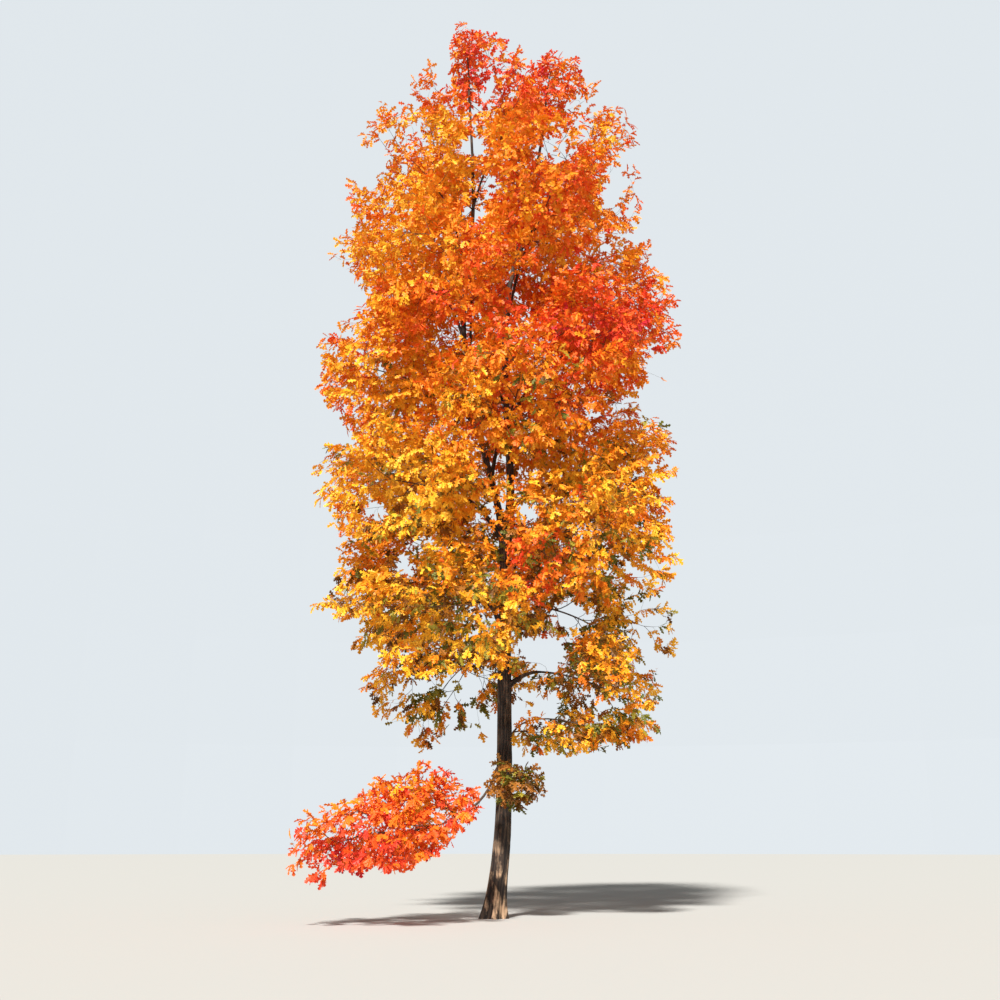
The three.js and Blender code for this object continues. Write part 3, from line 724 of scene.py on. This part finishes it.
# Places of a mood in the crown: centre, radius and how much redder the leaves are there
MOODS = [
    ((1.9, -2.8, 14), 2.9, 0.32),
    ((0.9, -1, 21.5), 2.2, 0.17),
    ((-0.6, 0, 23.4), 1.2, 0.17),
    ((3.2, -1.5, 18.6), 2.2, -0.08),
    ((-2.7, -1.5, 18), 3.1, -0.22),
    ((1.1, -3, 7.6), 0.9, 0.6),
    ((-2.4, -2.4, 6.2), 2.3, -0.3),
    ((-3.2, -2.4, 10.4), 2.1, -0.2),
    ((-2.4, -2.4, 2.1), 3.0, 0.48),
    ((2.4, -2.6, 10.4), 2.6, -0.14),
    ((2.4, 3.2, 15), 3, 0.26),
    ((-2.5, 3.4, 10.5), 2.8, -0.18),
    ((3.2, 1.2, 7.2), 2.6, -0.2),
    ((-1.6, 3.1, 20), 2.6, 0.2),
]
REDNESS_LOW, REDNESS_HIGH = 0.2, 0.425  # from 0, which is gold, to 1, which is crimson
REDNESS_FROM, REDNESS_OVER, REDNESS_POWER = 4, 20, 0.85  # the height where it starts to rise, and how
REDNESS_NOISE, MASS_NOISE, PATCH_NOISE = 0.135, 0.02, 0.16
PATCH_WAVES, PATCH_SHORTEST, PATCH_LONGEST = 9, 1.3, 4.2
PATCHES = make_waves(PATCH_WAVES, PATCH_SHORTEST, PATCH_LONGEST)
# Aged sprays are partly the leaves' own colour and partly painted shade: more of them near the crown's
# axis and deep inside a mass darken the crown where shade falls
AGED_SHARE, AGED_AND_SHADE_NEAR_AXIS, AGED_AND_SHADE_INSIDE = 0.04, 0.55, 0.6  # all through, near the crown's axis, inside a mass
AGED_BELOW, AGED_FULL = 13.5, 5.5  # heights from where there are aged sprays and where there are most
# low_right's many brown sprays are partly painted shade as well, on the shaded foliage before the trunk
AGED_MORE = {"low_right": 0.6, "low_layer": -0.12, "low_sweep": -1}
AGED_GREENNESS = {"low_right": 0.5}  # below 1 for a mass whose aged sprays are rather brown than olive


# The number of each spray's tint, by its height, the moods near it, its patch and chance.
def tints_of(mass, tips, random):
    height = np.clip((tips[:, 2] - REDNESS_FROM) / REDNESS_OVER, 0, 1)
    redness = mix(REDNESS_LOW, REDNESS_HIGH, height**REDNESS_POWER)
    for centre, radius, more in MOODS:
        near = np.linalg.norm(tips - np.array(centre), axis=1) / radius
        redness += more * np.exp(-(near**2))
    redness += MASS_NOISE * random.standard_normal()
    redness += REDNESS_NOISE * random.standard_normal(len(tips))
    redness += PATCH_NOISE * (2 * dip_at(tips, PATCHES) - 1)
    steps = np.clip((redness * len(TINTS)).astype(int), 0, len(TINTS) - 1)
    # Sprays near the crown's axis and deep inside their mass are aged more often: partly their own colour,
    # partly painted shade
    inside = 1 - np.linalg.norm((tips - mass.centre) @ mass.axes.T / mass.size, axis=1)
    axis = np.hypot(tips[:, 0] - CROWN_X, tips[:, 1] - CROWN_Y) / CROWN_RADIUS
    low = np.clip((AGED_BELOW - tips[:, 2]) / (AGED_BELOW - AGED_FULL), 0, 1)
    chance = low * (AGED_SHARE + AGED_AND_SHADE_NEAR_AXIS * np.clip(1 - axis, 0, 1) + AGED_AND_SHADE_INSIDE * np.clip(inside, 0, 1))
    aged = random.random(len(tips)) < chance + AGED_MORE.get(mass.name, 0)
    kind = np.searchsorted(AGED_KINDS, random.random(len(tips)) ** AGED_GREENNESS.get(mass.name, 1))
    return np.where(aged, len(TINTS) + kind, steps)


# Materials

# Bark colours, partly the bark's own and partly painted shade: the whole ramp is darker than the bark's
# grey-brown, as of a trunk in shade, and darkest deep in the furrows
BARK_AND_SHADE_COLOURS = [(0, "120c09"), (0.35, "211711"), (0.62, "35281e"), (1, "544437")]  # from furrow to ridge
RIDGE_SHADE, STREAK_SHADE, SHADE_DROP = 0.62, 0.55, 0.12
STREAKS = {"Scale": 34, "Detail": 5, "Roughness": 0.62}
GRAIN = {"Scale": 130, "Detail": 3, "Roughness": 0.6}
# Painted sunlight on the bark: pale tan flecks, strongest near the ground and on the ridges, stand in for
# patches of sun on the trunk
SUN_FLECK_NOISE = {"Scale": 5.5, "Detail": 4, "Roughness": 0.6}
STREAK_LENGTH, PATCH_LENGTH = 0.22, 0.4  # scales along the limb that draw a pattern out
SUN_FLECK_COLOUR = "cfaa86"
SUN_FLECK_FROM, SUN_FLECK_SHARPNESS, SUN_FLECK_ON_RIDGES, SUN_FLECK_IN_FURROWS = 0.48, 11, 0.7, 0.3
SUN_FLECK_HEIGHT, SUN_FLECK_ABOVE = 1.9, 0.12  # up to where the patches fade, and what is left of them there
STREAK_BUMP, GRAIN_BUMP, RIDGE_BUMP = 0.6, 0.4, 0.3
BUMP = {"Strength": 0.5, "Distance": 0.006}
BARK_ROUGHNESS, STREAK_SMOOTHNESS = 0.94, 0.1
TWIG_COLOUR, TWIG_ROUGHNESS = "4f3a2b", 0.8
# Leaves also glow faintly in their own colour: painted light that stands in for sun shining through them
# and keeps shaded leaves bright
LEAF_ROUGHNESS, LEAF_SHINE, LEAF_PAINTED_GLOW = 0.5, 0.3, 0.045


# A colour in hex as the linear values that a socket takes.
def linear(hex_colour):
    values = [int(hex_colour[k : k + 2], 16) / 255 for k in (0, 2, 4)]
    return (*[v / 12.92 if v <= 0.04045 else ((v + 0.055) / 1.055) ** 2.4 for v in values], 1)


class Value:
    """A socket in a material's nodes, with the maths that adds nodes behind it."""

    def __init__(self, look, socket):
        self.look, self.socket = look, socket

    def maths(self, operation, *values):
        return self.look.node("Math", {"operation": operation}, dict(enumerate(values)))[0]

    def __add__(self, other):
        return self.maths("ADD", self, other)

    def __radd__(self, other):
        return self.maths("ADD", other, self)

    def __sub__(self, other):
        return self.maths("SUBTRACT", self, other)

    def __rsub__(self, other):
        return self.maths("SUBTRACT", other, self)

    def __mul__(self, other):
        return self.maths("MULTIPLY", self, other)

    def __rmul__(self, other):
        return self.maths("MULTIPLY", other, self)


class Look:
    """A material and the one way in which its nodes are made."""

    def __init__(self, name):
        self.material = bpy.data.materials.new(name)
        self.material.use_nodes = True
        self.tree = self.material.node_tree
        self.tree.nodes.clear()
        self.shader = self.tree.nodes.new("ShaderNodeBsdfPrincipled")
        output = self.tree.nodes.new("ShaderNodeOutputMaterial")
        self.tree.links.new(self.shader.outputs[0], output.inputs["Surface"])

    # A node of a type, with its settings first and then the values or links of its inputs.
    def node(self, kind, settings, inputs):
        made = self.tree.nodes.new("ShaderNode" + kind)
        for name, value in settings.items():
            if name == "stops":
                self.set_stops(made.color_ramp, value)
            else:
                setattr(made, name, value)
        for key, value in inputs.items():
            self.feed(made.inputs[key], value)
        return [Value(self, socket) for socket in made.outputs]

    def set_stops(self, ramp, stops):
        while len(ramp.elements) < len(stops):
            ramp.elements.new(0.5)
        for element, (place, colour) in zip(ramp.elements, stops):
            element.position, element.color = place, colour

    def feed(self, socket, value):
        if isinstance(value, Value):
            self.tree.links.new(value.socket, socket)
        else:
            socket.default_value = value

    def surface(self, **inputs):
        for name, value in inputs.items():
            self.feed(self.shader.inputs[name.replace("_", " ")], value)
        return self.material


def bark_material():
    look = Look("bark")
    place = look.node("TexCoord", {}, {})[3]
    height = look.node("SeparateXYZ", {}, {0: place})[2]
    ridge = look.node("Attribute", {"attribute_name": "ridge"}, {})[2]
    streak_place = look.node("Mapping", {}, {0: place, 3: (1, 1, STREAK_LENGTH)})[0]
    patch_place = look.node("Mapping", {}, {0: place, 3: (1, 1, PATCH_LENGTH)})[0]
    streaks = look.node("TexNoise", {}, {0: streak_place, **STREAKS})[0]
    grain = look.node("TexNoise", {}, {0: streak_place, **GRAIN})[0]
    patches = look.node("TexNoise", {}, {0: patch_place, **SUN_FLECK_NOISE})[0]

    stops = [(at, linear(colour)) for at, colour in BARK_AND_SHADE_COLOURS]
    shade = ridge * RIDGE_SHADE + streaks * STREAK_SHADE - SHADE_DROP
    dark = look.node("ValToRGB", {"stops": stops}, {0: shade})[0]
    # Painted sunlight: pale flecks where the noise is high, most on the ridges, fading with height to a
    # little of them above the foot
    fade = {"Value": height, "From Max": SUN_FLECK_HEIGHT, "To Min": 1, "To Max": SUN_FLECK_ABOVE}
    foot = look.node("MapRange", {}, fade)[0]
    pale = (patches - SUN_FLECK_FROM) * SUN_FLECK_SHARPNESS * (ridge * SUN_FLECK_ON_RIDGES + SUN_FLECK_IN_FURROWS) * foot
    colour = look.node("Mix", {"data_type": "RGBA"}, {0: pale, 6: dark, 7: linear(SUN_FLECK_COLOUR)})[2]
    relief = streaks * STREAK_BUMP + grain * GRAIN_BUMP + ridge * RIDGE_BUMP
    bump = look.node("Bump", {}, {**BUMP, "Height": relief})[0]
    roughness = BARK_ROUGHNESS - STREAK_SMOOTHNESS * streaks
    return look.surface(Base_Color=colour, Roughness=roughness, Normal=bump)


def twig_material():
    return Look("twig").surface(Base_Color=linear(TWIG_COLOUR), Roughness=TWIG_ROUGHNESS)


# A leaf's tint, with a faint painted glow of the same colour in place of light shining through the leaf
def leaf_material(name, hex_colour):
    colour = linear(hex_colour)
    look = Look("leaf_" + name)
    look.shader.inputs["Specular IOR Level"].default_value = LEAF_SHINE
    return look.surface(
        Base_Color=colour, Roughness=LEAF_ROUGHNESS, Emission_Color=colour, Emission_Strength=LEAF_PAINTED_GLOW
    )


# Bark pieces


# A capped upright cylinder of radius 1 and height 1 whose side is cut into coarse times fine rings.
def ringed_cylinder(name, sides, coarse, fine):
    bpy.ops.object.select_all(action="DESELECT")
    bpy.ops.mesh.primitive_cylinder_add(vertices=sides, radius=1, depth=1)
    limb = bpy.context.object
    limb.name = limb.data.name = name
    bpy.ops.object.mode_set(mode="EDIT")
    bpy.ops.mesh.select_mode(type="EDGE")
    for cuts in (coarse - 1, fine - 1):
        if cuts:
            edit = bmesh.from_edit_mesh(limb.data)
            for edge in edit.edges:
                edge.select_set(abs(edge.verts[0].co.z - edge.verts[1].co.z) > LEVEL_GAP)
            bmesh.update_edit_mesh(limb.data)
            bpy.ops.mesh.subdivide(number_cuts=cuts)
    bpy.ops.object.mode_set(mode="OBJECT")
    return limb


# Long ridges round a limb, from 0 in a furrow to 1 on a ridge. They wander, split and break.
def ridge_pattern(angle, run, count, phase):
    drift = np.zeros_like(angle)
    for k, (turns, pace, size) in enumerate(DRIFTS, 1):
        drift += size * np.cos(turns * angle + pace * run + phase * k)
    main = 0.5 + 0.5 * np.cos(count * angle + drift)
    splits = 0.5 + 0.5 * np.cos((count // 2 + 1) * angle - drift * SPLIT_DRIFT + SPLIT_PACE * run + phase)
    ridge = 1 - (1 - main) ** RIDGE_FLATNESS
    ridge *= 1 - SPLIT_DEPTH * (1 - splits) ** SPLIT_SHARPNESS
    breaks = np.cos(BREAK_TURNS[0] * angle + BREAK_PACES[0] * run + BREAK_DRIFT * drift)
    breaks = breaks * np.cos(BREAK_TURNS[1] * angle + BREAK_PACES[1] * run + phase)
    return ridge * (1 - BREAK_DEPTH * smooth_step(breaks, *BREAK_EDGE))


# A limb's mesh: line_of gives, at shares of its length, the middles and two axes of its sections, and
# radius_of the radius at shares and angles.
def bark_piece(name, form, line_of, radius_of, phase):
    limb = ringed_cylinder(name, form["sides"], form["coarse"], form["fine"])
    count = len(limb.data.vertices)
    local = np.zeros(count * 3)
    limb.data.vertices.foreach_get("co", local)
    local = local.reshape(-1, 3)
    share = np.clip(local[:, 2] + 0.5, 0, 1) ** form["foot_detail"]
    angle = np.arctan2(local[:, 1], local[:, 0])
    middle, first, second, run = line_of(share)
    radius = radius_of(share, angle)
    ridge = ridge_pattern(angle, run, form["ridges"], phase)
    swell = np.cos(2 * angle + SWELL_PACES[0] * run + phase) * np.cos(SWELL_PACES[1] * run + phase)
    radius = radius * (1 + (RIDGE_DEPTH * (ridge - RIDGE_LEVEL) + SWELL * swell / 2))
    points = middle + radius[:, None] * (np.cos(angle)[:, None] * first + np.sin(angle)[:, None] * second)
    limb.data.vertices.foreach_set("co", points.ravel())
    attribute = limb.data.attributes.new("ridge", "FLOAT", "POINT")
    attribute.data.foreach_set("value", ridge.astype(np.float32))
    bpy.ops.object.shade_smooth_by_angle(angle=RIM_ANGLE)
    limb.data.update()
    limb.data.materials.append(BARK)
    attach(limb, "root")
    return limb


def host_piece(name, host, form, phase):
    def line_of(share):
        height = mix(host.foot, host.top, share)
        middle = host.at(height)
        sections = np.ones((len(share), 1))
        return middle, sections * SIDEWAYS, sections * AWAY, height

    def radius_of(share, angle):
        return host.radius(mix(host.foot, host.top, share), angle)

    return bark_piece(name, form, line_of, radius_of, phase)


def bough_piece(name, mass, phase):
    points, ways, length = even_line(*mass.bough, BOUGH_SECTIONS)
    aside = unit(np.cross(mass.bough[2] - mass.bough[0], UP))
    places = np.linspace(0, 1, BOUGH_SECTIONS)

    def along(values, share):
        return np.stack([np.interp(share, places, values[:, axis]) for axis in range(3)], axis=-1)

    def line_of(share):
        way = unit(along(ways, share))
        first = unit(aside - way * dot(aside, way)[:, None])
        return along(points, share), first, np.cross(way, first), share * length

    def radius_of(share, angle):
        return mass.bough_radius(share)

    return bark_piece(name, BOUGH_MESH, line_of, radius_of, phase)


BARK = bark_material()
TWIG = twig_material()

trunk = host_piece("trunk_bark", TRUNK, TRUNK_MESH, TRUNK_PHASE)
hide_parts("trunk")
second_stem = host_piece("second_stem_bark", STEM, STEM_MESH, STEM_PHASE)
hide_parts("second_stem")
for k, mass in enumerate(bough_masses):
    bough = bough_piece(f"bough_{mass.name}_bark", mass, FIRST_BOUGH_PHASE + BOUGH_PHASE_STEP * k)
    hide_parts(f"bough_{mass.name}")

# Foliage pieces

FOLIAGE_NODES = [f"foliage_{mass.name}" for mass in masses]


def dress(piece, material):
    piece.data.materials.append(material)
    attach(piece, "root")
    return piece


# All wood of the masses, in two lots, and the points of all leaves, by their tint.
def grow_foliage():
    random = np.random.default_rng(SEED)
    lots = [Parts(), Parts()]
    tint_points = [[] for _ in TINTS + AGED_TINTS]
    for k, mass in enumerate(masses):
        wood = grow_mass(mass, SEED + k)
        add_wood(lots[0] if k <= len(masses) // 2 else lots[1], mass, wood)
        points, spray, tips = spray_leaves(mass, wood, random)
        tint = tints_of(mass, tips, random)[spray]
        for number, store in enumerate(tint_points):
            store.append(points[tint == number])
    return lots, [np.concatenate(store) for store in tint_points]


def joined_leaves(name, points):
    parts = Parts()
    faces = LEAF_FACES[None] + np.arange(len(points))[:, None, None] * len(LEAF_FLAT)
    parts.add(points, faces.reshape(-1, 3))
    return parts.mesh(name, False)


wood_lots, leaves_by_tint = grow_foliage()
for number, parts in enumerate(wood_lots, 1):
    piece = dress(parts.mesh(f"twigs_{number}", True), TWIG)
    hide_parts(*FOLIAGE_NODES)
for (name, slot, colour), points in zip(TINTS + AGED_TINTS, leaves_by_tint):
    piece = dress(joined_leaves(f"leaves_{name}", points), leaf_material(name, colour))
    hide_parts(*FOLIAGE_NODES)

# Setting

FLOOR_SIZE, FLOOR_COLOUR, FLOOR_ROUGHNESS = 400, "c6c3bb", 0.9
KEY_WAY = (math.radians(48), 0, math.radians(-14))
KEY_STRENGTH, KEY_ANGLE = 6.1, math.radians(6)
SKY_COLOUR, SKY_STRENGTH = "e9eef2", 0.26
BACKDROP_RADIUS, BACKDROP_SEGMENTS, BACKDROP_RINGS = 190, 64, 32
BACKDROP_COLOUR = "dde4e9"
BLACK = (0, 0, 0, 1)
CLIP_END = 1000


def floor():
    bpy.ops.object.select_all(action="DESELECT")
    bpy.ops.mesh.primitive_plane_add(size=FLOOR_SIZE)
    plane = bpy.context.object
    plane.name = "floor"
    look = Look("floor")
    plane.data.materials.append(look.surface(Base_Color=linear(FLOOR_COLOUR), Roughness=FLOOR_ROUGHNESS))


# A pale dome that only the camera sees, so that it takes no light from the tree.
def backdrop():
    bpy.ops.object.select_all(action="DESELECT")
    bpy.ops.mesh.primitive_uv_sphere_add(
        segments=BACKDROP_SEGMENTS, ring_count=BACKDROP_RINGS, radius=BACKDROP_RADIUS
    )
    dome = bpy.context.object
    dome.name = "backdrop"
    look = Look("backdrop")
    dome.data.materials.append(
        look.surface(Base_Color=BLACK, Emission_Color=linear(BACKDROP_COLOUR), Emission_Strength=1)
    )
    for way in ("diffuse", "glossy", "transmission", "volume_scatter", "shadow"):
        setattr(dome, "visible_" + way, False)


def light_and_camera():
    scene = bpy.context.scene
    sun = bpy.data.lights.new("key", "SUN")
    sun.energy, sun.angle = KEY_STRENGTH, KEY_ANGLE
    sun_object = bpy.data.objects.new("key", sun)
    sun_object.rotation_euler = KEY_WAY
    scene.collection.objects.link(sun_object)
    world = bpy.data.worlds.new("studio")
    world.use_nodes = True
    background = world.node_tree.nodes["Background"]
    background.inputs["Color"].default_value = linear(SKY_COLOUR)
    background.inputs["Strength"].default_value = SKY_STRENGTH
    scene.world = world
    scene.view_settings.view_transform = "Standard"
    camera = bpy.data.cameras.new("camera")
    camera.lens = CAMERA_LENS
    camera.clip_end = CLIP_END
    camera_object = bpy.data.objects.new("camera", camera)
    camera_object.location = CAMERA_PLACE
    camera_object.rotation_euler = (math.radians(90) + CAMERA_PITCH, 0, 0)
    scene.collection.objects.link(camera_object)
    scene.camera = camera_object


floor()
backdrop()
light_and_camera()
